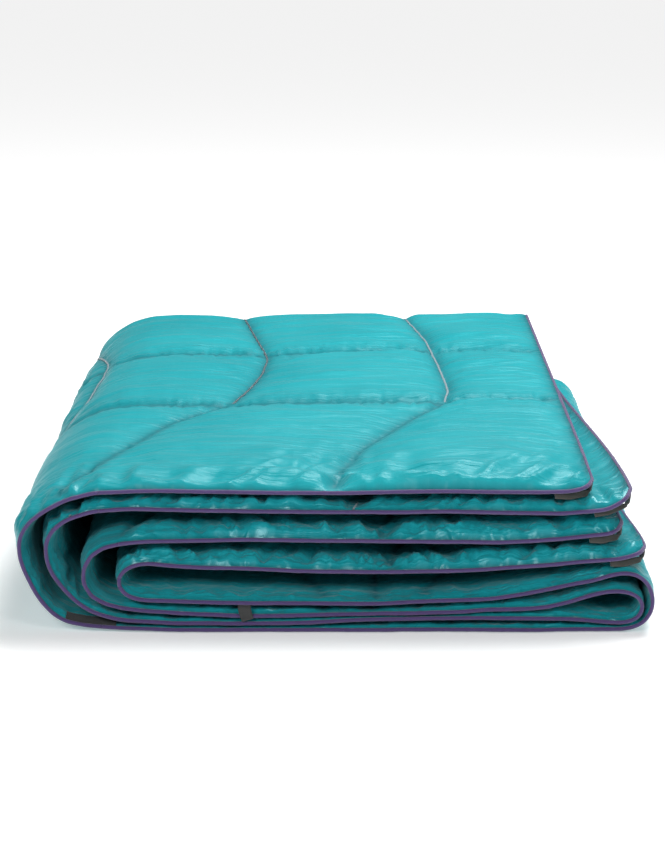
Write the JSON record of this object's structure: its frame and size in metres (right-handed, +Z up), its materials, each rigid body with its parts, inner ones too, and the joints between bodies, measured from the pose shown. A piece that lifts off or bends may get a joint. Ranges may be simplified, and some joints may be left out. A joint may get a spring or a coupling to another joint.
{
  "type": "folded quilted camping blanket",
  "caption": "Folded puffy quilted blanket with shiny nylon shell, round edge binding, corner loops whose two upper leaves open like a book.",
  "frame": {"origin": "centre of the folded blanket's resting face, on the floor", "axes": "+X along the front bound edges towards the side where the free short edges lie, +Y to the closed back fold, +Z up"},
  "size_m": [0.4899, 0.67, 0.126],
  "materials": {
    "shell": "satin",
    "lining": "satin",
    "batting": "matte",
    "binding": "matte",
    "seam_cord": "matte",
    "loop_webbing": "matte",
    "tab_webbing": "matte",
    "label": "matte"
  },
  "bodies": {
    "lower_half": {"inner_fold_batting": "batting", "inner_fold_binding_inner_ply": "binding", "inner_fold_binding_outer_ply": "binding", "inner_fold_lining": "lining", "inner_fold_shell": "shell", "label": "label", "lower_binding_inner_ply": "binding", "lower_binding_outer_ply": "binding", "lower_leaves_batting": "batting", "lower_leaves_lining": "lining", "lower_leaves_shell": "shell", "outer_fold_batting": "batting", "outer_fold_binding_inner_ply": "binding", "outer_fold_binding_outer_ply": "binding", "outer_fold_lining": "lining", "outer_fold_shell": "shell", "seam_cord_fold": "seam_cord", "side_tab": "tab_webbing"},
    "top_leaf": {"corner_loop_a": "loop_webbing", "corner_loop_b": "loop_webbing", "seam_cord_left": "seam_cord", "seam_cord_right": "seam_cord", "top_leaf_batting": "batting", "top_leaf_binding": "binding", "top_leaf_lining": "lining", "top_leaf_shell": "shell"},
    "second_leaf": {"corner_loop_c": "loop_webbing", "corner_loop_d": "loop_webbing", "second_leaf_batting": "batting", "second_leaf_binding": "binding", "second_leaf_lining": "lining", "second_leaf_shell": "shell"}
  },
  "joints": [
    {"name": "top_leaf_opens", "type": "hinge", "parent": "lower_half", "child": "top_leaf", "pos_m": [-0.245, 0, 0.063], "axis": [0, -1, 0], "range_deg": [0, 180], "deforming": ["outer_fold_batting", "outer_fold_binding_inner_ply", "outer_fold_binding_outer_ply", "outer_fold_lining", "outer_fold_shell", "label", "seam_cord_fold"]},
    {"name": "second_leaf_opens", "type": "hinge", "parent": "lower_half", "child": "second_leaf", "pos_m": [-0.175, 0, 0.063], "axis": [0, -1, 0], "range_deg": [0, 180], "deforming": ["inner_fold_batting", "inner_fold_binding_inner_ply", "inner_fold_binding_outer_ply", "inner_fold_lining", "inner_fold_shell"]}
  ],
  "couplings": [
    {"joint": "second_leaf_opens", "follows": "top_leaf_opens", "ratio": 1}
  ]
}
